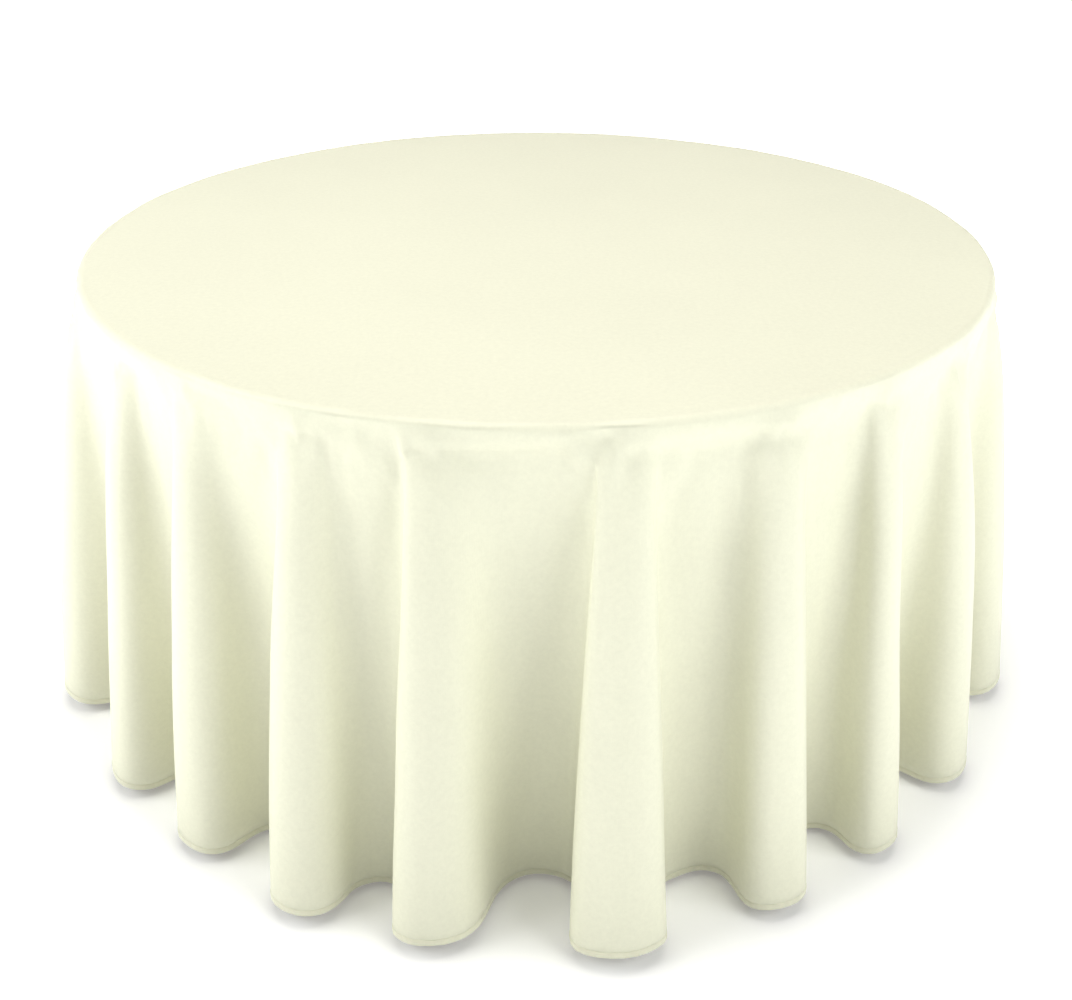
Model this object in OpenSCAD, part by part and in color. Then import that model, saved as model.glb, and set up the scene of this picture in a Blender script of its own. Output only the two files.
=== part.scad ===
// Round folding banquet table, five feet across, under a floor-length round tablecloth.
// The cloth drapes over the top and hangs in standing folds; the table folds flat under it.
// Millimetres. The origin is on the floor under the middle of the top, and +Z is up.
// The front of the table faces -Y. Fold azimuths are measured from the front towards +X.

/* [Table] */
// Diameter across the edge moulding
table_d = 1524; // [1424:10:1624]
// Height of the table's surface above the floor
table_h = 762; // [742:1:782]
// Thickness of the plywood board
board_t = 20; // [18:1:24]

/* [Cloth] */
// Diameter of the finished cloth laid flat
cloth_d = 3036; // [2936:4:3036]
// Thickness that the cloth is given as a solid
cloth_t = 2.4; // [1.6:0.2:3]
// Radius of the fold tips at the hem over the radius of the table
hem_flare = 1.218; // [1.16:0.002:1.23]
// Depth of a fold at the hem for each degree that it spans
fold_depth_per_degree = 9; // [5:0.5:9]
// Height of the sewn hem
hem_h = 9; // [6:1:14]

/* [Leg frames] */
// Distance of the leg pivots from the middle of the table
pivot_y = 430; // [425:5:445]
// Half the distance between the front legs
front_leg_x = 260; // [256:1:262]
// Half the distance between the back legs, which fold in under the front ones
back_leg_x = 220; // [210:1:222]
// Angle through which the front leg frame folds
front_fold = 90; // [90]
// Angle through which the back leg frame folds
back_fold = 84.5; // [83:0.5:85]
// Radius of the leg tubes
leg_r = 12.7; // [11:0.1:13]
// Radius of the stretcher tubes
stretcher_r = 9.5; // [8:0.5:10]
// Wall thickness of the tubes
tube_wall = 1.5; // [1:0.1:2]

/* [Braces] */
// Distance from the leg pivot to the brace's bracket
brace_reach = 400; // [390:5:400]
// Distance from the leg pivot down to the stretcher
stretcher_drop = 300; // [290:5:310]
// Thickness of the brace links
link_t = 4; // [3:0.5:5]
// Half the height of the brace links
link_half_h = 8; // [7:0.5:8]
// Sideways place of the braces, front one at -X and back one at +X
brace_x = 60; // [50:5:90]

/* [Hidden] */
$fn = 96;

// clearances
running_gap = 0.05;   // radial clearance of a turning joint
link_gap = 0.25;      // half the gap between the two links of a brace
ear_gap = 0.3;        // gap between a bracket's ear and the link beside it
cloth_gap = 0.6;      // gap between the table and the cloth's solid
wood_gap = 0.3;       // radial clearance of a screw in the part that it clamps

// table top
table_r = table_d / 2;
edge_r = board_t / 2;
board_r = table_r - edge_r;
board_z = table_h - board_t;
edge_z = table_h - edge_r;
tongue_h = 3;
tongue_l = 9;

// runners under the top
runner_x = 300;
runner_w = 50;
runner_h = 22;
runner_l = 1100;
runner_z = board_z - runner_h;
runner_screw_ys = [-520, -250, 250, 520];

// clamps that hold the pivot bars
clamp_w = 30;
clamp_t = 3;
clamp_l = 76;
clamp_screw_y = 29;
pivot_z = runner_z - leg_r - running_gap - clamp_t - 0.25;
bar_half_l = 335;

// screws
screw_r = 2.1;
screw_head_r = 4.5;
screw_head_h = 2.5;

// leg frames
foot_floor_t = 5;
foot_h = 34;
foot_r = 16;
plug_flange_t = 3;
plug_depth = 18;
stretcher_z = pivot_z - stretcher_drop;

// brace brackets: the pin lies above the leg pivots by pin_rise
pin_rise = 24;
pin_z = pivot_z + pin_rise;
pin_r = 4;
ear_t = 3;
ear_r = 9;
bracket_plate_t = 3;
bracket_w = 50;
bracket_l = 60;
bracket_screw_x = 18;
bracket_screw_y = 22;
eye_r = 9;
stretcher_eye_wall = 4.5;
stretcher_eye_w = 12;
rivet_r = 3;
rivet_head_r = 6;
rivet_head_h = 2;

// Brace geometry in the plane across the pivots, as [inward, up] from the leg pivot.
// The links lie in line at rest, and the upper one lies level when the leg frame is folded.
brace_length = norm([brace_reach, pin_rise + stretcher_drop]);
brace_angle = atan2(pin_rise + stretcher_drop, brace_reach);
function folded_stretcher(fold) = stretcher_drop * [sin(fold), -cos(fold)];
function lower_link_l(fold) =
    let (
        rise = pin_rise - folded_stretcher(fold)[1],
        rest = brace_length - brace_reach + folded_stretcher(fold)[0],
        run = (rest * rest - rise * rise) / (2 * rest)
    )
    norm([run, rise]);
function upper_link_l(fold) = brace_length - lower_link_l(fold);

// cloth
cloth_in_r = table_r + cloth_gap;
cloth_z = table_h + cloth_gap;
over_edge_l = board_r + (edge_r + cloth_gap) * PI / 2;
drop_l = cloth_d / 2 - over_edge_l;
hem_start = 1 - hem_h / drop_l;
hem_tip_r = table_r * hem_flare;
hem_extra_t = 0.8;
least_valley_r = table_r * 1.012;
// Azimuths of the fold tips round one half of the table; the other half repeats them.
half_fold_azimuths = [-68.5, -49, -35.5, -22, -10, 7.5, 23, 36, 51, 68, 82.5, 97];
fold_azimuths = [
    for (turn = [0, 180])
        for (azimuth = half_fold_azimuths)
            azimuth + turn
];
fold_steps = 12;
fold_count = len(fold_azimuths);
ring_count = fold_count * fold_steps;

function fold_span(i) =
    i == fold_count - 1
        ? fold_azimuths[0] + 360 - fold_azimuths[i]
        : fold_azimuths[i + 1] - fold_azimuths[i];
function hem_azimuth(k) =
    let (i = floor(k / fold_steps), part = k / fold_steps - i)
    fold_azimuths[i] + part * fold_span(i);
function hem_radius(k) =
    let (i = floor(k / fold_steps), part = k / fold_steps - i)
    max(least_valley_r,
        hem_tip_r - fold_span(i) * fold_depth_per_degree * (1 - cos(360 * part)) / 2);

// One point of the hanging cloth: part 0 is at the table's edge and part 1 at the hem.
function drop_point(k, part, out) =
    let (
        spread = hem_radius(k) - cloth_in_r,
        fall = sqrt(drop_l * drop_l - spread * spread),
        r = cloth_in_r + spread * part + out,
        azimuth = hem_azimuth(k)
    )
    [r * sin(azimuth), -r * cos(azimuth), edge_z - part * fall];
function drop_ring(part, out) = [for (k = [0 : ring_count - 1]) drop_point(k, part, out)];

// ---- shared shapes ----

// A tube along X, centred on x = 0
module tube_x(r, half_l, wall) {
    rotate([0, 90, 0])
        difference() {
            cylinder(r = r, h = 2 * half_l, center = true);
            cylinder(r = r - wall, h = 2 * half_l + 2, center = true);
        }
}

// A solid rod along X between two places
module rod_x(r, x0, x1) {
    translate([x0, 0, 0])
        rotate([0, 90, 0])
            cylinder(r = r, h = x1 - x0);
}

// A flat link in the YZ plane from the origin to [l, 0], with round ends
module link_plate(l, start_r, end_r, half_h, thickness) {
    rotate([90, 0, 90])
        linear_extrude(thickness) {
            circle(start_r);
            translate([0, -half_h])
                square([l, 2 * half_h]);
            translate([l, 0])
                circle(end_r);
        }
}

// A wood screw driven upwards: its head hangs below z = 0 and its shank stands above it
module screw_up(shank_l) {
    cylinder(r = screw_r, h = shank_l);
    translate([0, 0, -screw_head_h])
        rotate_extrude()
            intersection() {
                square([screw_head_r, screw_head_h]);
                translate([0, screw_head_r])
                    circle(screw_head_r + 0.6);
            }
}

// A closed wall of the hanging cloth between two heights
module cloth_band(part_top, part_bottom, inner_out, outer_out) {
    rings = [
        drop_ring(part_top, inner_out),
        drop_ring(part_top, outer_out),
        drop_ring(part_bottom, outer_out),
        drop_ring(part_bottom, inner_out),
    ];
    ring_faces = len(rings);
    inner_skin = ring_faces - 1;
    corners = [for (ring = rings) for (point = ring) point];
    // Both skins are split along the same diagonals, so that the wall keeps its thickness.
    faces = [
        for (j = [0 : ring_faces - 1])
            for (k = [0 : ring_count - 1])
                let (
                    a = j * ring_count + k,
                    b = j * ring_count + (k + 1) % ring_count,
                    c = ((j + 1) % ring_faces) * ring_count + k,
                    d = ((j + 1) % ring_faces) * ring_count + (k + 1) % ring_count
                )
                each j == inner_skin ? [[a, b, c], [b, d, c]] : [[a, b, d], [a, d, c]]
    ];
    polyhedron(points = corners, faces = faces, convexity = 10);
}

// ---- where fasteners go ----

module at_runner_screws(side) {
    for (y = runner_screw_ys)
        translate([side * runner_x, y, runner_z])
            children();
}

module at_clamps() {
    for (x = [-runner_x, runner_x])
        for (y = [-pivot_y, pivot_y])
            translate([x, y, 0])
                children();
}

module at_clamp_screws() {
    at_clamps()
        for (y = [-clamp_screw_y, clamp_screw_y])
            translate([0, y, runner_z - clamp_t])
                children();
}

// The front bracket's frame, and the back one's by half a turn
module at_brackets() {
    for (turn = [0, 180])
        rotate([0, 0, turn])
            translate([-brace_x, brace_reach - pivot_y, pin_z])
                children();
}

module at_bracket_screws() {
    for (turn = [0, 180])
        rotate([0, 0, turn])
            for (x = [-bracket_screw_x, bracket_screw_x])
                for (y = [-bracket_screw_y, bracket_screw_y])
                    translate([
                        x - brace_x,
                        y + brace_reach - pivot_y,
                        board_z - bracket_plate_t
                    ])
                        children();
}

// ---- table top ----

module top_board() {
    color("burlywood")
        difference() {
            translate([0, 0, board_z])
                cylinder(r = board_r, h = board_t, $fn = 192);
            rotate_extrude($fn = 192)
                translate([board_r - tongue_l, edge_z - tongue_h / 2])
                    square([tongue_l + 1, tongue_h]);
            for (side = [-1, 1])
                at_runner_screws(side)
                    cylinder(r = screw_r, h = runner_h + 12);
            at_bracket_screws()
                cylinder(r = screw_r, h = 16);
        }
}

module edge_moulding() {
    color("saddlebrown")
        rotate_extrude($fn = 192) {
            intersection() {
                translate([board_r, edge_z])
                    circle(edge_r);
                translate([board_r, board_z])
                    square([edge_r, board_t]);
            }
            translate([board_r - tongue_l, edge_z - tongue_h / 2])
                square([tongue_l + 0.5, tongue_h]);
        }
}

module runner(side) {
    end_slope = 30;
    color("tan")
        difference() {
            translate([side * runner_x - runner_w / 2, 0, 0])
                rotate([90, 0, 90])
                    linear_extrude(runner_w)
                        polygon([
                            [-runner_l / 2, board_z],
                            [-runner_l / 2, board_z - runner_h / 3],
                            [-runner_l / 2 + end_slope, runner_z],
                            [runner_l / 2 - end_slope, runner_z],
                            [runner_l / 2, board_z - runner_h / 3],
                            [runner_l / 2, board_z],
                        ]);
            at_runner_screws(side)
                translate([0, 0, -1])
                    cylinder(r = screw_r, h = runner_h + 2);
            at_clamp_screws()
                cylinder(r = screw_r, h = clamp_t + 18);
        }
}

module runner_screws() {
    color("silver")
        for (side = [-1, 1])
            at_runner_screws(side)
                screw_up(runner_h + 12);
}

module pivot_clamps() {
    color("gray")
        difference() {
            at_clamps() {
                translate([0, 0, pivot_z])
                    rod_x(leg_r + running_gap + clamp_t, -clamp_w / 2, clamp_w / 2);
                translate([-clamp_w / 2, -clamp_l / 2, runner_z - clamp_t])
                    cube([clamp_w, clamp_l, clamp_t]);
            }
            at_clamps()
                translate([0, 0, pivot_z])
                    rod_x(leg_r + running_gap, -clamp_w, clamp_w);
            at_clamp_screws()
                translate([0, 0, -1])
                    cylinder(r = screw_r + wood_gap, h = clamp_t + 2);
        }
}

module clamp_screws() {
    color("silver")
        at_clamp_screws()
            screw_up(clamp_t + 18);
}

module brace_brackets() {
    plate_z = board_z - bracket_plate_t - pin_z;
    color("gray")
        difference() {
            at_brackets() {
                translate([-bracket_w / 2, -bracket_l / 2, plate_z])
                    cube([bracket_w, bracket_l, bracket_plate_t]);
                for (x = [-link_gap - link_t - ear_gap - ear_t, -link_gap + ear_gap])
                    translate([x, 0, 0])
                        rotate([90, 0, 90])
                            linear_extrude(ear_t) {
                                circle(ear_r);
                                translate([-ear_r, 0])
                                    square([2 * ear_r, plate_z + 1]);
                            }
            }
            at_brackets()
                rod_x(pin_r, -bracket_w, bracket_w);
            at_bracket_screws()
                translate([0, 0, -1])
                    cylinder(r = screw_r + wood_gap, h = bracket_plate_t + 2);
        }
}

module bracket_screws() {
    color("silver")
        at_bracket_screws()
            screw_up(16);
}

module bracket_pins() {
    left = -link_gap - link_t - ear_gap - ear_t;
    right = -link_gap + ear_gap + ear_t;
    color("silver")
        at_brackets() {
            rod_x(pin_r, left - 1, right + 1);
            rod_x(pin_r + 2, left - 3, left);
            rod_x(pin_r + 1.5, right, right + 2);
        }
}

// ---- leg frames, in the place of the front one ----

module pivot_bar() {
    color("dimgray")
        translate([0, -pivot_y, pivot_z])
            tube_x(leg_r, bar_half_l, tube_wall);
}

module bar_plugs() {
    color("black")
        for (side = [-1, 1])
            translate([side * bar_half_l, -pivot_y, pivot_z])
                rotate([0, side * 90, 0]) {
                    cylinder(r = leg_r, h = plug_flange_t);
                    translate([0, 0, -plug_depth])
                        cylinder(r = leg_r - tube_wall, h = plug_depth + 1);
                }
}

module leg(x) {
    color("dimgray")
        difference() {
            translate([x, -pivot_y, foot_floor_t])
                difference() {
                    cylinder(r = leg_r, h = pivot_z - foot_floor_t);
                    translate([0, 0, -1])
                        cylinder(r = leg_r - tube_wall, h = pivot_z);
                }
            translate([0, -pivot_y, pivot_z])
                rod_x(leg_r, x - 2 * leg_r, x + 2 * leg_r);
        }
}

module stretcher(leg_x) {
    color("dimgray")
        difference() {
            translate([0, -pivot_y, stretcher_z])
                tube_x(stretcher_r, leg_x, tube_wall);
            for (x = [-leg_x, leg_x])
                translate([x, -pivot_y, stretcher_z - 2 * leg_r])
                    cylinder(r = leg_r, h = 4 * leg_r);
        }
}

module foot_caps(leg_x) {
    color("black")
        for (x = [-leg_x, leg_x])
            translate([x, -pivot_y, 0])
                rotate_extrude()
                    difference() {
                        union() {
                            translate([0, 3])
                                square([foot_r, foot_h - 3]);
                            square([foot_r - 3, 4]);
                            translate([foot_r - 3, 3])
                                circle(3);
                        }
                        translate([0, foot_floor_t])
                            square([leg_r, foot_h]);
                        translate([-10, -10])
                            square([10, 60]);
                    }
}

// ---- braces, in the place of the front one ----

module brace_upper(fold) {
    l = upper_link_l(fold);
    color("silver")
        translate([-brace_x, brace_reach - pivot_y, pin_z])
            rotate([brace_angle + 180, 0, 0])
                translate([-link_gap - link_t, 0, 0])
                    difference() {
                        link_plate(l, eye_r, link_half_h, link_half_h, link_t);
                        rod_x(pin_r + running_gap, -1, link_t + 1);
                        translate([0, l, 0])
                            rod_x(rivet_r, -1, link_t + 1);
                    }
}

module knee_rivet(fold) {
    l = upper_link_l(fold);
    color("gray")
        translate([-brace_x, brace_reach - pivot_y, pin_z])
            rotate([brace_angle + 180, 0, 0])
                translate([-link_gap - link_t, l, 0]) {
                    rod_x(rivet_r, 0, link_t);
                    rod_x(rivet_head_r, -rivet_head_h, 0);
                }
}

module brace_lower(fold) {
    l = lower_link_l(fold);
    stretcher_eye_r = stretcher_r + running_gap + stretcher_eye_wall;
    color("silver")
        translate([-brace_x, -pivot_y, stretcher_z])
            rotate([brace_angle, 0, 0])
                translate([link_gap, 0, 0])
                    difference() {
                        union() {
                            link_plate(l, stretcher_eye_r, link_half_h, link_half_h, link_t);
                            rod_x(stretcher_eye_r, 0, stretcher_eye_w);
                        }
                        rod_x(stretcher_r + running_gap, -1, stretcher_eye_w + 1);
                        translate([0, l, 0])
                            rod_x(rivet_r + wood_gap, -1, link_t + 1);
                    }
}

// ---- tablecloth ----

module cloth_top() {
    color("ivory")
        rotate_extrude($fn = 192)
            difference() {
                union() {
                    translate([0, edge_z])
                        square([board_r, edge_r + cloth_gap + cloth_t]);
                    translate([board_r, edge_z])
                        circle(edge_r + cloth_gap + cloth_t);
                }
                translate([0, edge_z - board_t])
                    square([board_r, edge_r + cloth_gap + board_t]);
                translate([board_r, edge_z])
                    circle(edge_r + cloth_gap);
                translate([0, edge_z - 2 * board_t])
                    square([2 * board_r, 2 * board_t]);
            }
}

module cloth_drop() {
    color("ivory")
        cloth_band(0, hem_start, 0, cloth_t);
}

module cloth_hem() {
    color("cornsilk")
        cloth_band(hem_start, 1, 0, cloth_t + hem_extra_t);
}

top_board();
edge_moulding();
runner(-1);  // runner_left
runner(1);  // runner_right
runner_screws();
pivot_clamps();
clamp_screws();
brace_brackets();
bracket_screws();
bracket_pins();
pivot_bar();  // pivot_bar_front
bar_plugs();  // bar_plugs_front
leg(-front_leg_x);  // leg_front_left
leg(front_leg_x);  // leg_front_right
stretcher(front_leg_x);  // stretcher_front
foot_caps(front_leg_x);  // foot_caps_front
rotate([0, 0, 180]) pivot_bar();  // pivot_bar_back
rotate([0, 0, 180]) bar_plugs();  // bar_plugs_back
rotate([0, 0, 180]) leg(back_leg_x);  // leg_back_left
rotate([0, 0, 180]) leg(-back_leg_x);  // leg_back_right
rotate([0, 0, 180]) stretcher(back_leg_x);  // stretcher_back
rotate([0, 0, 180]) foot_caps(back_leg_x);  // foot_caps_back
brace_upper(front_fold);  // brace_upper_front
brace_lower(front_fold);  // brace_lower_front
knee_rivet(front_fold);  // knee_rivet_front
rotate([0, 0, 180]) brace_upper(back_fold);  // brace_upper_back
rotate([0, 0, 180]) brace_lower(back_fold);  // brace_lower_back
rotate([0, 0, 180]) knee_rivet(back_fold);  // knee_rivet_back
cloth_top();
cloth_drop();
cloth_hem();
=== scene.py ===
"""A floor-length round tablecloth over a round folding banquet table.

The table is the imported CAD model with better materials. The cloth is one sheet, laid out from
its flat cut: folds of the true cloth length are set out round the table, and a cloth simulation
with the flat cut as its rest shape then settles them under their own weight.
Lengths are in metres. Azimuths are in degrees, measured from the front (-Y) towards +X.
"""

import math

import bpy
import numpy as np
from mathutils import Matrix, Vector


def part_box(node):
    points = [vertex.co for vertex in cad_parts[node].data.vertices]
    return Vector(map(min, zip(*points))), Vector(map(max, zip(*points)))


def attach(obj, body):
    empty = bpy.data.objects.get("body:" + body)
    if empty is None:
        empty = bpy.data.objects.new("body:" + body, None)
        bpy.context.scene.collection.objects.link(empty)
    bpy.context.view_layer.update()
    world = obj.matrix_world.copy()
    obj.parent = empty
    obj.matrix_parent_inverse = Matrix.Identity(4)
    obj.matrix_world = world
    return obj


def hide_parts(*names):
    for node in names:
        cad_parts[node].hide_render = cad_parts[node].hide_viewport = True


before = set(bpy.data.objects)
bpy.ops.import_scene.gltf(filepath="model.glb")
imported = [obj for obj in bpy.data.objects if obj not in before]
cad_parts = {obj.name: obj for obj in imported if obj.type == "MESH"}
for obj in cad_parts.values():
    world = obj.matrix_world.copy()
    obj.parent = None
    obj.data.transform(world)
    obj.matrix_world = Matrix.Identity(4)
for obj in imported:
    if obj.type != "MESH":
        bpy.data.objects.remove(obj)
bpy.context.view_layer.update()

# ---- sizes, from the frame ----
EDGE_LOW, EDGE_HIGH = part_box("edge_moulding")
TABLE_R = (EDGE_HIGH.x - EDGE_LOW.x) / 2
TABLE_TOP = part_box("top_board")[1].z
EDGE_R = (EDGE_HIGH.z - EDGE_LOW.z) / 2
BOARD_R = TABLE_R - EDGE_R

# ---- the cloth's cut ----
CLOTH_D = 3.036          # finished diameter, flat
CLOTH_THICKNESS = 0.0006
CLOTH_GAP = 0.0010       # from the table to the middle of the cloth
TURN_R = EDGE_R + CLOTH_GAP
TURN_L = TURN_R * math.pi / 2
DROP_L = CLOTH_D / 2 - BOARD_R - TURN_L

# ---- how the cloth hangs ----
# Each fold: azimuth of its tip, how far the tip stands out at the hem as a share of the table's
# radius, half the width of its crest in degrees, and where the valley after it lies, as a share
# of the way to the next tip.
FRONT_FOLDS = [
    (-67.8, 0.234, 0.7, 0.50), (-50.2, 0.198, 0.5, 0.52), (-36.4, 0.196, 0.4, 0.54),
    (-22.6, 0.224, 0.4, 0.60), (-10.6, 0.222, 0.4, 0.64), (7.9, 0.244, 1.8, 0.46),
    (23.6, 0.214, 0.6, 0.55), (36.4, 0.202, 0.4, 0.53), (51.2, 0.198, 0.5, 0.53),
    (68.4, 0.212, 0.6, 0.50),
]
BACK_FOLDS = [
    (82.5, 0.222, 0.5, 0.48), (97.0, 0.206, 0.4, 0.52), (111.5, 0.214, 1.0, 0.50),
    (130.5, 0.224, 0.9, 0.46), (144.0, 0.202, 0.4, 0.50), (158.0, 0.214, 0.6, 0.52),
    (170.0, 0.220, 0.8, 0.50), (187.5, 0.226, 1.3, 0.45), (203.0, 0.204, 0.5, 0.50),
    (216.5, 0.212, 0.4, 0.54), (231.0, 0.206, 0.6, 0.50), (247.5, 0.218, 0.7, 0.50),
    (262.0, 0.210, 0.4, 0.50), (277.0, 0.230, 0.6, 0.50),
]
FOLDS = FRONT_FOLDS + BACK_FOLDS
LEAST_GAP = 0.0016       # from the table's edge to a fold's valley
FLARE_POWER = 0.78       # how soon below the edge the fold tips stand out
FLAT_VALLEY_TOP = 0.42   # share of a fold that lies on the table's edge, at the top
FLAT_VALLEY_HEM = 0.05   # share of a fold that is its valley's flat floor, at the hem
# The same for the folds whose valley is broad, by their place in FOLDS.
BROAD_VALLEYS = {4: 0.12, 5: 0.30, 6: 0.18, 7: 0.12}
NARROWING = 0.7          # share of the drop over which a valley's floor goes from top to hem value
SQUARENESS = -0.02       # below 0, crests and valleys are flatter and flanks steeper
MIDDLE_DEPTH = 0.4       # depth, as a share of a fold's room, where its run round is measured
LENGTH_SHARE = 1.10      # makes up for cutting the curves into short straight edges
OUTLINE_PASSES = 2       # passes of smoothing round each level
LEAST_FALL = 0.35        # a row drops at least this share of its distance from the row above

# ---- rows and columns of the sheet, and steps along a fold ----
COLUMNS_PER_FOLD = 16
TOP_ROWS = 14
TURN_ROWS = 4
DROP_ROWS = 36
ROWS_ABOVE_DROP = TOP_ROWS + TURN_ROWS
TOP_CROWDING = 1.8       # above 1, the top's rows lie closer towards its edge
DROP_CROWDING = 1.12     # above 1, the drop's rows lie closer towards the table
FLANK_STEPS = 120
FLAT_STEPS = 20
STEEPEST = 1.95          # steepest flank looked up, in radians
STEEPNESS_STEPS = 160
DEPTH_HALVINGS = 26

# ---- the simulation ----
SIM_FRAMES = 26
HELD_ROWS = 5            # rows of the top, next to its edge, that are held still
COLLISION_GAP = 0.001    # kept by the simulation on each side
TABLE_FRICTION = 20
COLLIDER_COLUMNS = 288
COLLIDER_TURN_STEPS = 12
COLLIDER_INNER = 0.6     # the collider's inner radius, as a share of the board's
CALM_PASSES_DOWN = 14    # passes of smoothing of what the simulation moved
CALM_PASSES_ROUND = 3
CALM_ROWS = 8            # rows below the edge over which the smoothing sets in
CALM_LOSS = 0.35         # share of what the simulation moved that is left out at the hem

# ---- faint creases and the hem ----
CREASE_SEED = 11
CREASE_HEIGHT = 0.00045
CREASE_FREE_ROWS = 12    # rows below the edge over which the creases set in
CREASE_PASSES_DOWN = 26
CREASE_PASSES_ROUND = 2
HEM_WIDTH = 0.0095
STITCH_PITCH = 0.0032
STITCH_LENGTH = 0.0026
STITCH_WIDTH = 0.0005
STITCH_INSET = 0.0015    # from the hem's upper edge down to the stitches
STITCH_OUT = 0.00058     # from the cloth's middle out to the stitches
# The hem's section: (up from the cloth's edge, out from the cloth's middle).
HEM_SECTION = [
    (HEM_WIDTH + 0.0001, 0.00038), (HEM_WIDTH - 0.0004, 0.00064),
    (HEM_WIDTH - STITCH_INSET, 0.00056), (HEM_WIDTH / 2, 0.00074), (0.0009, 0.00080),
    (-0.0002, 0.00062), (-0.0007, 0.0), (-0.0004, -0.0009), (0.0009, -0.0014),
    (HEM_WIDTH / 2, -0.00145), (HEM_WIDTH - STITCH_INSET, -0.0012),
    (HEM_WIDTH - 0.0004, -0.0013), (HEM_WIDTH + 0.0001, -0.0008),
    (HEM_WIDTH + 0.0001, -0.00036),
]
WELD_DISTANCE = 0.00001

# ---- colours and the weave ----
IVORY = (0.762, 0.760, 0.632)
HEM_IVORY = (0.740, 0.734, 0.600)
THREAD = (0.72, 0.72, 0.60)
WEAVE_SCALE = 111.11     # of the wave texture: its ribs are about 2.8 mm apart
DARK_TONE_AT = 0.25      # places of the two tones on a pattern's colour ramp
LIGHT_TONE_AT = 0.72

# ---- camera, floor and light ----
SENSOR_WIDTH = 36        # in millimetres
FOCAL_SHARE = 1100 / 1072   # focal length as a share of the picture's width
CAMERA_BACK = 2.506      # as a share of the table's radius, from its axis
CAMERA_UP = 0.767        # as a share of the table's radius, above its top
CAMERA_TILT = 30.8       # degrees down from level
FLOOR_HALF = 80
FLOOR_GREY = 0.82
LIGHTS_AIM = (0, 0, 0.5)
VIEW_GAMMA = 0.82
# Each softbox: name, azimuth, elevation, distance, size, power, colour.
SOFTBOXES = [
    ("top", 180, 84, 4.0, 3.0, 114, (1.0, 0.968, 0.935)),
    ("left", -74, 31, 4.4, 2.8, 121, (0.995, 1.0, 0.985)),
    ("right", 54, 33, 4.4, 2.6, 85, (0.988, 1.0, 0.988)),
]


# ---- small helpers ----

def smooth(x):
    """A soft step from 0 to 1."""
    x = np.clip(x, 0.0, 1.0)
    return x * x * (3.0 - 2.0 * x)


def unit(vectors):
    return vectors / np.linalg.norm(vectors, axis=-1, keepdims=True)


def blur(field, axis, passes):
    """Smooths a field of rows by columns along one axis; columns go round, rows have ends."""
    for _ in range(passes):
        if axis == 1:
            before, after = np.roll(field, 1, axis=1), np.roll(field, -1, axis=1)
        else:
            before = np.concatenate([field[:1], field[:-1]])
            after = np.concatenate([field[1:], field[-1:]])
        field = (before + 2 * field + after) / 4
    return field


def mesh_object(name, points, faces):
    """A new object in the scene, from its points and faces."""
    mesh = bpy.data.meshes.new(name)
    mesh.from_pydata(points, [], faces)
    mesh.update()
    obj = bpy.data.objects.new(name, mesh)
    bpy.context.scene.collection.objects.link(obj)
    return obj


def grid_mesh(name, rows, close_centre=False):
    """A mesh of rings of points; the first ring is closed by a fan to its middle if asked."""
    count, columns = rows.shape[:2]
    points = rows.reshape(-1, 3)
    row, column = np.meshgrid(np.arange(count - 1), np.arange(columns), indexing="ij")
    a = (row * columns + column).ravel()
    b = (row * columns + (column + 1) % columns).ravel()
    faces = np.stack([a, a + columns, b + columns, b], axis=1).tolist()
    if close_centre:
        centre = len(points)
        points = np.vstack([points, rows[0].mean(axis=0)])
        faces += [(centre, k, (k + 1) % columns) for k in range(columns)]
    obj = mesh_object(name, points.tolist(), faces)
    obj.data.polygons.foreach_set("use_smooth", [True] * len(obj.data.polygons))
    return obj


# ---- fold geometry ----

HALF_STEPS = (np.arange(FLANK_STEPS) + 0.5) / FLANK_STEPS
HALF_WAVE = np.sin(np.pi * HALF_STEPS) + SQUARENESS * np.sin(3 * np.pi * HALF_STEPS)
STEEPNESSES = np.linspace(0.0, STEEPEST, STEEPNESS_STEPS)
FLANKS = [HALF_WAVE * k for k in STEEPNESSES]
FLANK_ALONG = np.array([np.cos(flank).mean() for flank in FLANKS])
FLANK_DOWN = np.array([np.sin(flank).mean() for flank in FLANKS])


def flank_steepness(run, depth):
    """How steep a flank from crest to valley is, from its run round the table and its depth."""
    return np.interp(depth / run, FLANK_DOWN / FLANK_ALONG, STEEPNESSES)


def flank_length(run, depth):
    """Length of cloth in a flank."""
    return run / np.interp(flank_steepness(run, depth), STEEPNESSES, FLANK_ALONG)


def tip_radius(i, s):
    """Distance of fold i's tip from the table's axis, s below the edge along the cloth."""
    stand_out = FOLDS[i % len(FOLDS)][1] * TABLE_R
    return TABLE_R + CLOTH_GAP + stand_out * (s / DROP_L) ** FLARE_POWER


def tip_azimuth(i):
    """Azimuth of fold i's tip, in radians."""
    turns, k = divmod(i, len(FOLDS))
    return math.radians(FOLDS[k][0] + 360 * turns)


def fold_depth(flats, runs, room, length):
    """How deep a fold is if its flats and its two flanks hold this length of cloth."""
    low, high = 0.0, room
    for _ in range(DEPTH_HALVINGS):
        depth = (low + high) / 2
        if sum(flats) + sum(flank_length(run, depth) for run in runs) < length:
            low = depth
        else:
            high = depth
    return depth


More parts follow.
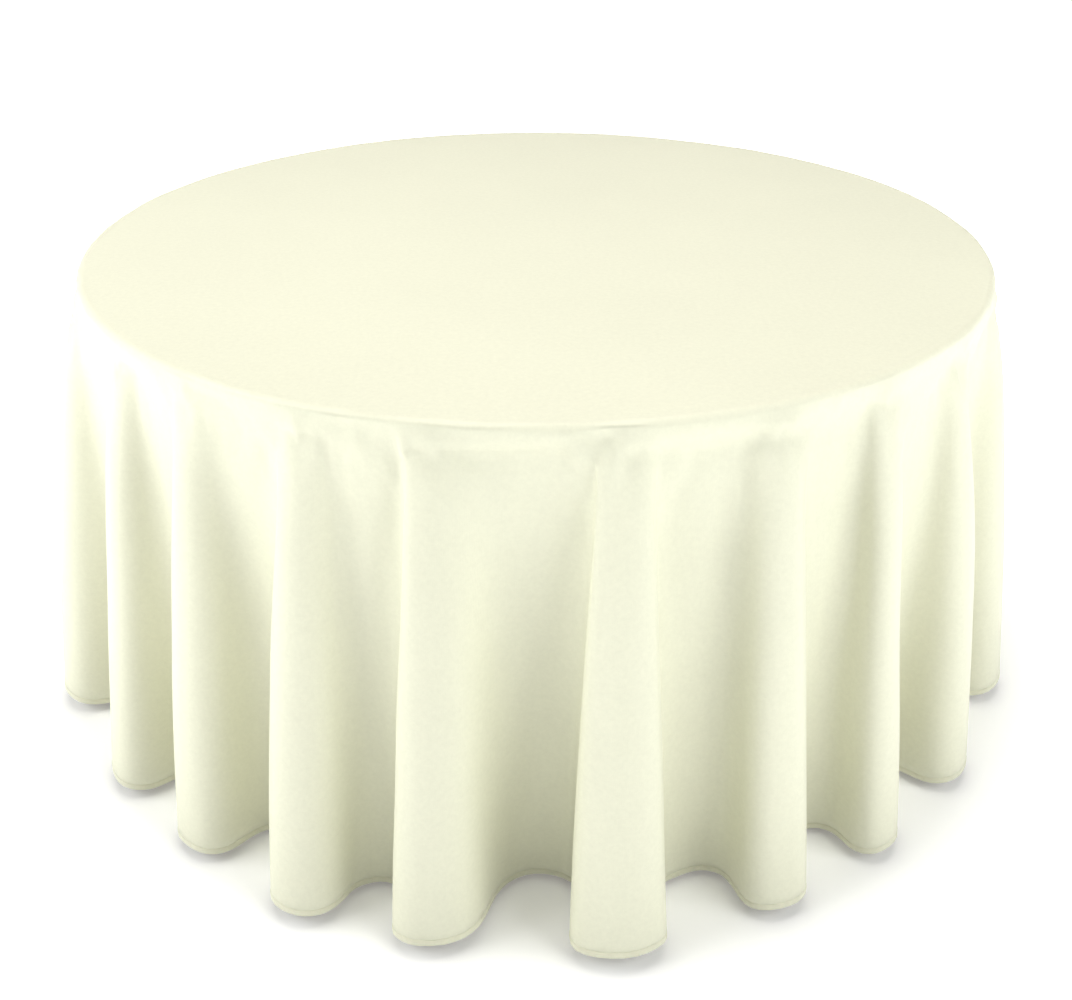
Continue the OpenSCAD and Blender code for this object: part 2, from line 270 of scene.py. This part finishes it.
def fold_outline(i, s, flat_r):
    """Azimuths and radii of fold i's points at one level, evenly spaced along the cloth."""
    a0, a1 = tip_azimuth(i), tip_azimuth(i + 1)
    r0, r1 = tip_radius(i, s), tip_radius(i + 1, s)
    span = a1 - a0
    room = (r0 + r1) / 2 - TABLE_R - LEAST_GAP
    part = float(smooth(s / (NARROWING * DROP_L)))
    flat_at_hem = BROAD_VALLEYS.get(i % len(FOLDS), FLAT_VALLEY_HEM)
    share = FLAT_VALLEY_TOP + (flat_at_hem - FLAT_VALLEY_TOP) * part
    crest0 = math.radians(FOLDS[i % len(FOLDS)][2])
    crest1 = math.radians(FOLDS[(i + 1) % len(FOLDS)][2])
    valley = FOLDS[i % len(FOLDS)][3] * span
    r = (r0 + r1) / 2 - MIDDLE_DEPTH * room
    runs = [(valley - share * span / 2 - crest0) * r,
            (span - valley - share * span / 2 - crest1) * r]
    flats = [crest0 * r, share * span * r, crest1 * r]
    depth = fold_depth(flats, runs, room, flat_r * span * LENGTH_SHARE)
    flanks = []
    for turn, run in ((-1, runs[0]), (1, runs[1])):
        steepness = flank_steepness(run, depth)
        step = flank_length(run, depth) / len(HALF_STEPS)
        flanks.append((np.cos(steepness * HALF_WAVE) * step,
                       turn * np.sin(steepness * HALF_WAVE) * step))
    level = [(np.full(FLAT_STEPS, l / FLAT_STEPS), np.zeros(FLAT_STEPS)) for l in flats]
    order = [level[0], flanks[0], level[1], flanks[1], level[2]]
    x = np.concatenate([[0]] + [piece[0] for piece in order]).cumsum()
    y = np.concatenate([[0]] + [piece[1] for piece in order]).cumsum()
    along = np.concatenate([[0], np.hypot(np.diff(x), np.diff(y)).cumsum()])
    at = np.arange(COLUMNS_PER_FOLD) / COLUMNS_PER_FOLD * along[-1]
    x, y = np.interp(at, along, x) / x[-1], np.interp(at, along, y)
    return a0 + span * x, np.maximum(r0 + (r1 - r0) * x + y, TABLE_R + LEAST_GAP)


def level_outline(s, flat_r):
    """Plan-view points of the cloth at one level."""
    folds = [fold_outline(i, s, flat_r) for i in range(len(FOLDS))]
    azimuth = np.concatenate([fold[0] for fold in folds])
    radius = np.concatenate([fold[1] for fold in folds])
    for _ in range(OUTLINE_PASSES):
        radius = (np.roll(radius, 1) + 2 * radius + np.roll(radius, -1)) / 4
    return np.stack([radius * np.sin(azimuth), -radius * np.cos(azimuth)], axis=1)


def flat_azimuths():
    """Azimuths of the columns on the flat cut, in radians."""
    out = []
    for i in range(len(FOLDS)):
        a0, a1 = tip_azimuth(i), tip_azimuth(i + 1)
        out += [a0 + (a1 - a0) * k / COLUMNS_PER_FOLD for k in range(COLUMNS_PER_FOLD)]
    return np.array(out)


# ---- the sheet ----

def drape():
    """Returns flat and draped points, as arrays of rows by columns by three."""
    azimuth = flat_azimuths()
    around = np.stack([np.sin(azimuth), -np.cos(azimuth)], axis=1)
    top_z = TABLE_TOP + CLOTH_GAP
    flat_rows, draped_rows = [], []

    def add(flat_r, plan, z):
        flat_rows.append(np.column_stack([around * flat_r, np.full(len(around), top_z)]))
        draped_rows.append(np.column_stack([plan, z]))

    for k in range(1, TOP_ROWS + 1):
        r = BOARD_R * (1 - (1 - k / TOP_ROWS) ** TOP_CROWDING)
        add(r, around * r, np.full(len(around), top_z))
    for k in range(1, TURN_ROWS + 1):
        a = math.pi / 2 * k / TURN_ROWS
        r = BOARD_R + TURN_R * math.sin(a)
        z = top_z - TURN_R * (1 - math.cos(a))
        add(BOARD_R + TURN_L * k / TURN_ROWS, around * r, np.full(len(around), z))
    for k in range(1, DROP_ROWS + 1):
        s = DROP_L * (k / DROP_ROWS) ** DROP_CROWDING
        flat_r = BOARD_R + TURN_L + s
        plan = level_outline(s, flat_r)
        last = draped_rows[-1]
        step = flat_r - np.linalg.norm(flat_rows[-1][:, :2], axis=1)
        moved = np.linalg.norm(plan - last[:, :2], axis=1)
        fall = np.sqrt(np.maximum(step ** 2 - moved ** 2, (LEAST_FALL * step) ** 2))
        add(flat_r, plan, last[:, 2] - fall)
    return np.array(flat_rows), np.array(draped_rows)


def table_collider():
    """The top's edge and the outer part of its faces, for the cloth to lie on."""
    azimuth = np.arange(COLLIDER_COLUMNS) * 2 * math.pi / COLLIDER_COLUMNS
    middle_z = TABLE_TOP - EDGE_R
    edge_r = TURN_R - 2 * COLLISION_GAP
    profile = [(BOARD_R * COLLIDER_INNER, middle_z + edge_r)]
    for k in range(COLLIDER_TURN_STEPS + 1):
        a = math.pi * k / COLLIDER_TURN_STEPS
        profile.append((BOARD_R + edge_r * math.sin(a), middle_z + edge_r * math.cos(a)))
    profile.append((BOARD_R * COLLIDER_INNER, middle_z - edge_r))
    rows = np.array([[(r * math.sin(a), -r * math.cos(a), z) for a in azimuth]
                     for r, z in profile])
    collider = grid_mesh("collider", rows)
    collider.modifiers.new("collision", "COLLISION")
    collider.collision.thickness_outer = COLLISION_GAP
    collider.collision.cloth_friction = TABLE_FRICTION
    return collider


def set_up_cloth(modifier, rest):
    """Gives the cloth modifier a light, soft fabric with the rest shape key as its cut."""
    setting = modifier.settings
    setting.quality = 6
    setting.mass = 0.0002
    setting.air_damping = 1.5
    setting.tension_stiffness = 12
    setting.compression_stiffness = 1
    setting.shear_stiffness = 1
    setting.bending_model = "ANGULAR"
    setting.bending_stiffness = 0.3
    setting.tension_damping = setting.compression_damping = 4
    setting.shear_damping = 4
    setting.bending_damping = 0.4
    setting.vertex_group_mass = "held"
    setting.rest_shape_key = rest
    modifier.collision_settings.use_collision = True
    modifier.collision_settings.distance_min = COLLISION_GAP
    modifier.collision_settings.use_self_collision = False
    modifier.point_cache.frame_start = 1
    modifier.point_cache.frame_end = SIM_FRAMES


def settle(flat, draped):
    """Runs the cloth simulation from the draped rows, with the flat cut as the rest shape."""
    scene = bpy.context.scene
    first = TOP_ROWS - HELD_ROWS
    obj = grid_mesh("settling", draped[first:])
    obj.shape_key_add(name="Basis")
    rest = obj.shape_key_add(name="flat")
    rest.data.foreach_set("co", flat[first:].ravel())
    rest.value = 0.0
    columns = flat.shape[1]
    held = obj.vertex_groups.new(name="held")
    held.add(range(HELD_ROWS * columns), 1.0, "REPLACE")
    collider = table_collider()
    set_up_cloth(obj.modifiers.new("cloth", "CLOTH"), rest)
    for number in range(1, SIM_FRAMES + 1):
        scene.frame_set(number)
    evaluated = obj.evaluated_get(bpy.context.evaluated_depsgraph_get())
    points = np.zeros(len(evaluated.data.vertices) * 3)
    evaluated.data.vertices.foreach_get("co", points)
    settled = draped.copy()
    settled[first:] = points.reshape(-1, columns, 3)
    scene.frame_set(1)
    for gone in (obj, collider):
        mesh = gone.data
        bpy.data.objects.remove(gone)
        bpy.data.meshes.remove(mesh)
    return settled


def calm(settled, draped):
    """The settled rows without their small ripples, and closer to the draped rows lower down."""
    moved = settled - draped
    soft = blur(blur(moved, 0, CALM_PASSES_DOWN), 1, CALM_PASSES_ROUND)
    below = np.arange(len(moved)) - ROWS_ABOVE_DROP
    share = smooth(below / CALM_ROWS)[:, None, None]
    kept = 1 - CALM_LOSS * smooth(below / DROP_ROWS)[:, None, None]
    return draped + moved * (1 - share) + soft * share * kept


def finer(rows):
    """Doubles the columns with cubic interpolation."""
    before = np.roll(rows, 1, axis=1)
    after = np.roll(rows, -1, axis=1)
    after2 = np.roll(rows, -2, axis=1)
    middle = (-before + 9 * rows + 9 * after - after2) / 16
    return np.stack([rows, middle], axis=2).reshape(rows.shape[0], -1, 3)


def creased(rows):
    """The rows with faint upright creases pressed into the drop."""
    field = np.random.default_rng(CREASE_SEED).normal(size=rows.shape[:2])
    field = blur(blur(field, 0, CREASE_PASSES_DOWN), 1, CREASE_PASSES_ROUND)
    field /= field.std()
    down = np.gradient(rows, axis=0)
    along = np.roll(rows, -1, axis=1) - np.roll(rows, 1, axis=1)
    out = unit(np.cross(along, down))
    out *= np.sign((out[-1, :, :2] * rows[-1, :, :2]).sum())
    amount = smooth((np.arange(len(rows)) - ROWS_ABOVE_DROP) / CREASE_FREE_ROWS)
    return rows + out * (field * amount[:, None] * CREASE_HEIGHT)[:, :, None]


def cloth_piece(rows):
    """The sheet itself, with its thickness."""
    piece = grid_mesh("tablecloth", rows, True)
    solid = piece.modifiers.new("thickness", "SOLIDIFY")
    solid.thickness = CLOTH_THICKNESS
    solid.offset = 0.0
    return piece


# ---- the hem: the edge folded up inside and stitched down ----

def edge_lines(rows):
    """Points along the cloth's edge, with the directions up the cloth and out from it."""
    edge = rows[-1]
    up = unit(rows[-2] - edge)
    along = unit(np.roll(edge, -1, axis=0) - np.roll(edge, 1, axis=0))
    out = unit(np.cross(up, along))
    if (out[:, :2] * edge[:, :2]).sum() < 0:
        out = -out
    return edge, up, out


def hem_piece(edge, up, out):
    """The hem's section, swept along the edge."""
    rows = np.array([edge + up * rise + out * depth for rise, depth in HEM_SECTION])
    piece = grid_mesh("tablecloth_hem", np.concatenate([rows, rows[:1]]))
    piece.modifiers.new("weld", "WELD").merge_threshold = WELD_DISTANCE
    return piece


def stitching_piece(edge, up, out):
    """One row of stitches round the hem, each an octahedron drawn out along the edge."""
    column_length = np.linalg.norm(np.roll(edge, -1, axis=0) - edge, axis=1)
    column_at = np.concatenate([[0], column_length.cumsum()])
    count = int(column_at[-1] / STITCH_PITCH)
    stitch_at = (np.arange(count) + 0.5) / count * column_at[-1]

    def at_stitches(values):
        closed = np.concatenate([values, values[:1]])
        return np.stack([np.interp(stitch_at, column_at, closed[:, k]) for k in range(3)], axis=1)

    outward, upward = unit(at_stitches(out)), unit(at_stitches(up))
    along = unit(np.cross(outward, upward))
    middle = at_stitches(edge) + upward * (HEM_WIDTH - STITCH_INSET) + outward * STITCH_OUT
    corners = [along * STITCH_LENGTH / 2, upward * STITCH_WIDTH / 2,
               along * -STITCH_LENGTH / 2, upward * -STITCH_WIDTH / 2,
               outward * STITCH_WIDTH / 2, outward * -STITCH_WIDTH / 2]
    points = np.stack([middle + corner for corner in corners], axis=1).reshape(-1, 3)
    faces = np.array([(0, 1, 4), (1, 2, 4), (2, 3, 4), (3, 0, 4),
                      (1, 0, 5), (2, 1, 5), (3, 2, 5), (0, 3, 5)])
    faces = (np.arange(count)[:, None, None] * len(corners) + faces).reshape(-1, 3)
    return mesh_object("hem_stitching", points.tolist(), faces.tolist())


# ---- materials ----

def material_tree(name):
    """A new material, its node tree and its shader."""
    material = bpy.data.materials.new(name)
    material.use_nodes = True
    tree = material.node_tree
    return material, tree, tree.nodes["Principled BSDF"]


def node(tree, kind, links=(), **values):
    """Adds a node; values set its sockets by name, and links pair an output with a socket."""
    made = tree.nodes.new(kind)
    for key, value in values.items():
        key = key.replace("_", " ")
        if key in made.inputs:
            made.inputs[key].default_value = value
        else:
            setattr(made, key.replace(" ", "_"), value)
    for output, socket in links:
        tree.links.new(output, made.inputs[socket])
    return made


def cloth_fabric(name, colour):
    """Satin-faced woven polyester: a fine weave, soft unevenness and a slight sheen."""
    material, tree, shader = material_tree(name)
    place = node(tree, "ShaderNodeTexCoord").outputs["Object"]
    broad = node(tree, "ShaderNodeTexNoise", [(place, "Vector")], Scale=2.3, Detail=3.0)
    slub = node(tree, "ShaderNodeTexNoise", [(place, "Vector")], Scale=140.0, Detail=4.0,
                Roughness=0.7)
    tone = node(tree, "ShaderNodeMapRange", [(broad.outputs["Fac"], "Value")],
                From_Min=0.3, From_Max=0.7, To_Min=0.985, To_Max=1.015)
    speckle = node(tree, "ShaderNodeMapRange", [(slub.outputs["Fac"], "Value")],
                   From_Min=0.3, From_Max=0.7, To_Min=0.975, To_Max=1.02)
    both = node(tree, "ShaderNodeMath", [(tone.outputs[0], 0), (speckle.outputs[0], 1)],
                operation="MULTIPLY")
    tint = node(tree, "ShaderNodeVectorMath", [(both.outputs[0], 1)], operation="MULTIPLY")
    tint.inputs[0].default_value = colour
    tree.links.new(tint.outputs[0], shader.inputs["Base Color"])
    ribs = [node(tree, "ShaderNodeTexWave", [(place, "Vector")], bands_direction=direction,
                 Scale=WEAVE_SCALE, Distortion=1.2, Detail=1.0).outputs["Fac"]
            for direction in ("X", "Y", "Z")]
    weave = node(tree, "ShaderNodeMath", [(ribs[0], 0), (ribs[1], 1)], operation="MAXIMUM")
    weave = node(tree, "ShaderNodeMath", [(weave.outputs[0], 0), (ribs[2], 1)],
                 operation="MAXIMUM")
    fine = node(tree, "ShaderNodeBump", [(weave.outputs[0], "Height")], Strength=0.12,
                Distance=0.0003)
    rumple = node(tree, "ShaderNodeTexNoise", [(place, "Vector")], Scale=22.0, Detail=2.0)
    bumped = node(tree, "ShaderNodeBump",
                  [(rumple.outputs["Fac"], "Height"), (fine.outputs[0], "Normal")],
                  Strength=0.10, Distance=0.004)
    tree.links.new(bumped.outputs[0], shader.inputs["Normal"])
    shader.inputs["Roughness"].default_value = 0.50
    shader.inputs["Specular IOR Level"].default_value = 0.36
    shader.inputs["Sheen Weight"].default_value = 0.12
    shader.inputs["Sheen Roughness"].default_value = 0.35
    return material


def textured(name, dark, light, roughness, metallic=0.0, kind="noise", scale=60.0,
             stretch=(1.0, 1.0, 1.0), bump=0.15, depth=0.0004, coat=0.0):
    """A surface with a two-tone procedural pattern, uneven roughness and a fine relief."""
    material, tree, shader = material_tree(name)
    place = node(tree, "ShaderNodeTexCoord").outputs["Object"]
    place = node(tree, "ShaderNodeMapping", [(place, "Vector")], Scale=stretch).outputs[0]
    fine = node(tree, "ShaderNodeTexNoise", [(place, "Vector")], Scale=scale, Detail=6.0,
                Roughness=0.62)
    pattern = fine.outputs["Fac"]
    if kind == "grain":
        rings = node(tree, "ShaderNodeTexWave", [(place, "Vector")], bands_direction="Y",
                     Scale=scale * 0.08, Distortion=9.0, Detail=3.0)
        total = node(tree, "ShaderNodeMath", [(rings.outputs["Fac"], 0), (pattern, 1)],
                     operation="ADD")
        half = node(tree, "ShaderNodeMath", [(total.outputs[0], 0)], operation="MULTIPLY")
        half.inputs[1].default_value = 0.5
        pattern = half.outputs[0]
    elif kind == "cells":
        cells = node(tree, "ShaderNodeTexVoronoi", [(place, "Vector")], Scale=scale)
        mixed = node(tree, "ShaderNodeMath", [(cells.outputs["Distance"], 0), (pattern, 1)],
                     operation="MULTIPLY")
        pattern = mixed.outputs[0]
    ramp = node(tree, "ShaderNodeValToRGB", [(pattern, "Fac")])
    tones = ((DARK_TONE_AT, dark), (LIGHT_TONE_AT, light))
    for stop, (position, colour) in zip(ramp.color_ramp.elements, tones):
        stop.position = position
        stop.color = (*colour, 1)
    tree.links.new(ramp.outputs["Color"], shader.inputs["Base Color"])
    uneven = node(tree, "ShaderNodeMapRange", [(fine.outputs["Fac"], "Value")], From_Min=0.3,
                  From_Max=0.7, To_Min=roughness[0], To_Max=roughness[1])
    tree.links.new(uneven.outputs[0], shader.inputs["Roughness"])
    relief = node(tree, "ShaderNodeBump", [(pattern, "Height")], Strength=bump, Distance=depth)
    tree.links.new(relief.outputs[0], shader.inputs["Normal"])
    shader.inputs["Metallic"].default_value = metallic
    shader.inputs["Coat Weight"].default_value = coat
    return material


def table_finishes():
    """A material for each of the table's finishes, by the name of its slot."""
    return {
        "plywood": textured("lacquered_plywood", (0.42, 0.25, 0.12), (0.64, 0.43, 0.24),
                            (0.32, 0.45), kind="grain", scale=55.0, stretch=(0.16, 1.0, 1.0),
                            bump=0.12, depth=0.0003, coat=0.25),
        "batten": textured("planed_batten", (0.50, 0.34, 0.18), (0.72, 0.54, 0.33),
                           (0.55, 0.72), kind="grain", scale=70.0, stretch=(0.12, 1.0, 1.0),
                           bump=0.2, depth=0.0004),
        "edge_vinyl": textured("vinyl_edge", (0.045, 0.022, 0.012), (0.075, 0.038, 0.020),
                               (0.38, 0.52), scale=160.0, bump=0.15, depth=0.0002),
        "leg_paint": textured("hammered_paint", (0.030, 0.031, 0.034), (0.060, 0.062, 0.066),
                              (0.30, 0.42), kind="cells", scale=230.0, bump=0.35,
                              depth=0.0005, coat=0.2),
        "zinc_plate": textured("zinc_plating", (0.42, 0.42, 0.40), (0.66, 0.66, 0.63),
                               (0.26, 0.44), metallic=1.0, kind="cells", scale=180.0,
                               bump=0.05, depth=0.0001),
        "screw_steel": textured("bright_steel", (0.48, 0.47, 0.45), (0.70, 0.69, 0.66),
                                (0.20, 0.36), metallic=1.0, scale=400.0, bump=0.06,
                                depth=0.0001),
        "foot_rubber": textured("foot_rubber", (0.012, 0.012, 0.012), (0.028, 0.027, 0.026),
                                (0.72, 0.9), scale=300.0, bump=0.3, depth=0.0003),
        "black_plastic": textured("black_plastic", (0.010, 0.010, 0.011),
                                  (0.022, 0.022, 0.023), (0.42, 0.56), scale=350.0, bump=0.2,
                                  depth=0.0002),
    }


def finish_table():
    """Gives each of the table's nodes the better material of its slot's name."""
    finishes = table_finishes()
    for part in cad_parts.values():
        for place in part.material_slots:
            name = place.material.name.split(".")[0] if place.material else None
            if name in finishes:
                place.material = finishes[name]


# ---- camera, floor and light ----

def add_camera():
    """The camera, in front of the table and above it."""
    data = bpy.data.cameras.new("camera")
    data.sensor_width = SENSOR_WIDTH
    data.lens = SENSOR_WIDTH * FOCAL_SHARE
    camera = bpy.data.objects.new("camera", data)
    camera.location = (0, -CAMERA_BACK * TABLE_R, TABLE_TOP + CAMERA_UP * TABLE_R)
    camera.rotation_euler = (math.radians(90 - CAMERA_TILT), 0, 0)
    bpy.context.scene.collection.objects.link(camera)
    bpy.context.scene.camera = camera


def add_floor():
    """A pale floor with painted light: it glows faintly next to the table and as plain white away
    from it.
    """
    corners = [(x * FLOOR_HALF, y * FLOOR_HALF, 0) for x, y in ((-1, -1), (1, -1), (1, 1), (-1, 1))]
    floor = mesh_object("floor", corners, [(0, 1, 2, 3)])
    material, tree, shader = material_tree("floor")
    place = node(tree, "ShaderNodeTexCoord").outputs["Object"]
    away = node(tree, "ShaderNodeVectorMath", [(place, 0)], operation="LENGTH")
    # Painted light: the floor's own glow, weak by the table and full white further out, also lights
    # the cloth from below and from the sides.
    glow = node(tree, "ShaderNodeMapRange", [(away.outputs["Value"], "Value")],
                From_Min=0.9, From_Max=1.5, To_Min=0.22, To_Max=1.0)
    tree.links.new(glow.outputs[0], shader.inputs["Emission Strength"])
    shader.inputs["Emission Color"].default_value = (1, 1, 1, 1)
    shader.inputs["Base Color"].default_value = (FLOOR_GREY, FLOOR_GREY, FLOOR_GREY, 1)
    shader.inputs["Roughness"].default_value = 0.9
    shader.inputs["Specular IOR Level"].default_value = 0.0
    floor.data.materials.append(material)


def add_sky():
    """A soft white surround, bright at the horizon and dim overhead."""
    world = bpy.data.worlds.new("world")
    bpy.context.scene.world = world
    world.use_nodes = True
    tree = world.node_tree
    sky = tree.nodes["Background"]
    sky.inputs["Color"].default_value = (0.97, 1, 0.975, 1)
    place = node(tree, "ShaderNodeTexCoord").outputs["Generated"]
    upward = node(tree, "ShaderNodeSeparateXYZ", [(place, "Vector")])
    fade = node(tree, "ShaderNodeMapRange", [(upward.outputs["Z"], "Value")],
                From_Min=0.0, From_Max=0.6, To_Min=0.88, To_Max=0.05)
    tree.links.new(fade.outputs[0], sky.inputs["Strength"])


def add_softbox(name, azimuth, elevation, distance, size, power, colour):
    """A square light at an azimuth and elevation, pointed at the cloth."""
    a, e = math.radians(azimuth), math.radians(elevation)
    aim = Vector(LIGHTS_AIM)
    place = aim + distance * Vector((math.cos(e) * math.sin(a), -math.cos(e) * math.cos(a),
                                     math.sin(e)))
    data = bpy.data.lights.new(name, "AREA")
    data.color = colour
    data.shape = "SQUARE"
    data.size = size
    data.energy = power
    light = bpy.data.objects.new(name, data)
    light.location = place
    light.rotation_euler = (aim - place).to_track_quat("-Z", "Y").to_euler()
    bpy.context.scene.collection.objects.link(light)


# ---- the making ----

flat_sheet, sheet = drape()
sheet = calm(settle(flat_sheet, sheet), sheet)
sheet = creased(finer(sheet))
cloth = cloth_piece(sheet)
hem = hem_piece(*edge_lines(sheet))
stitching = stitching_piece(*edge_lines(sheet))
for piece, slot, colour in ((cloth, "ivory_polyester", IVORY),
                            (hem, "hem_polyester", HEM_IVORY),
                            (stitching, "hem_polyester", THREAD)):
    piece.data.materials.append(cloth_fabric(piece.name + "_fabric", colour))
    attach(piece, "cloth")
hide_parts("cloth_top", "cloth_drop")
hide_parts("cloth_hem")

finish_table()
add_camera()
add_floor()
add_sky()
for softbox in SOFTBOXES:
    add_softbox(*softbox)
bpy.context.scene.view_settings.view_transform = "Standard"
bpy.context.scene.view_settings.gamma = VIEW_GAMMA
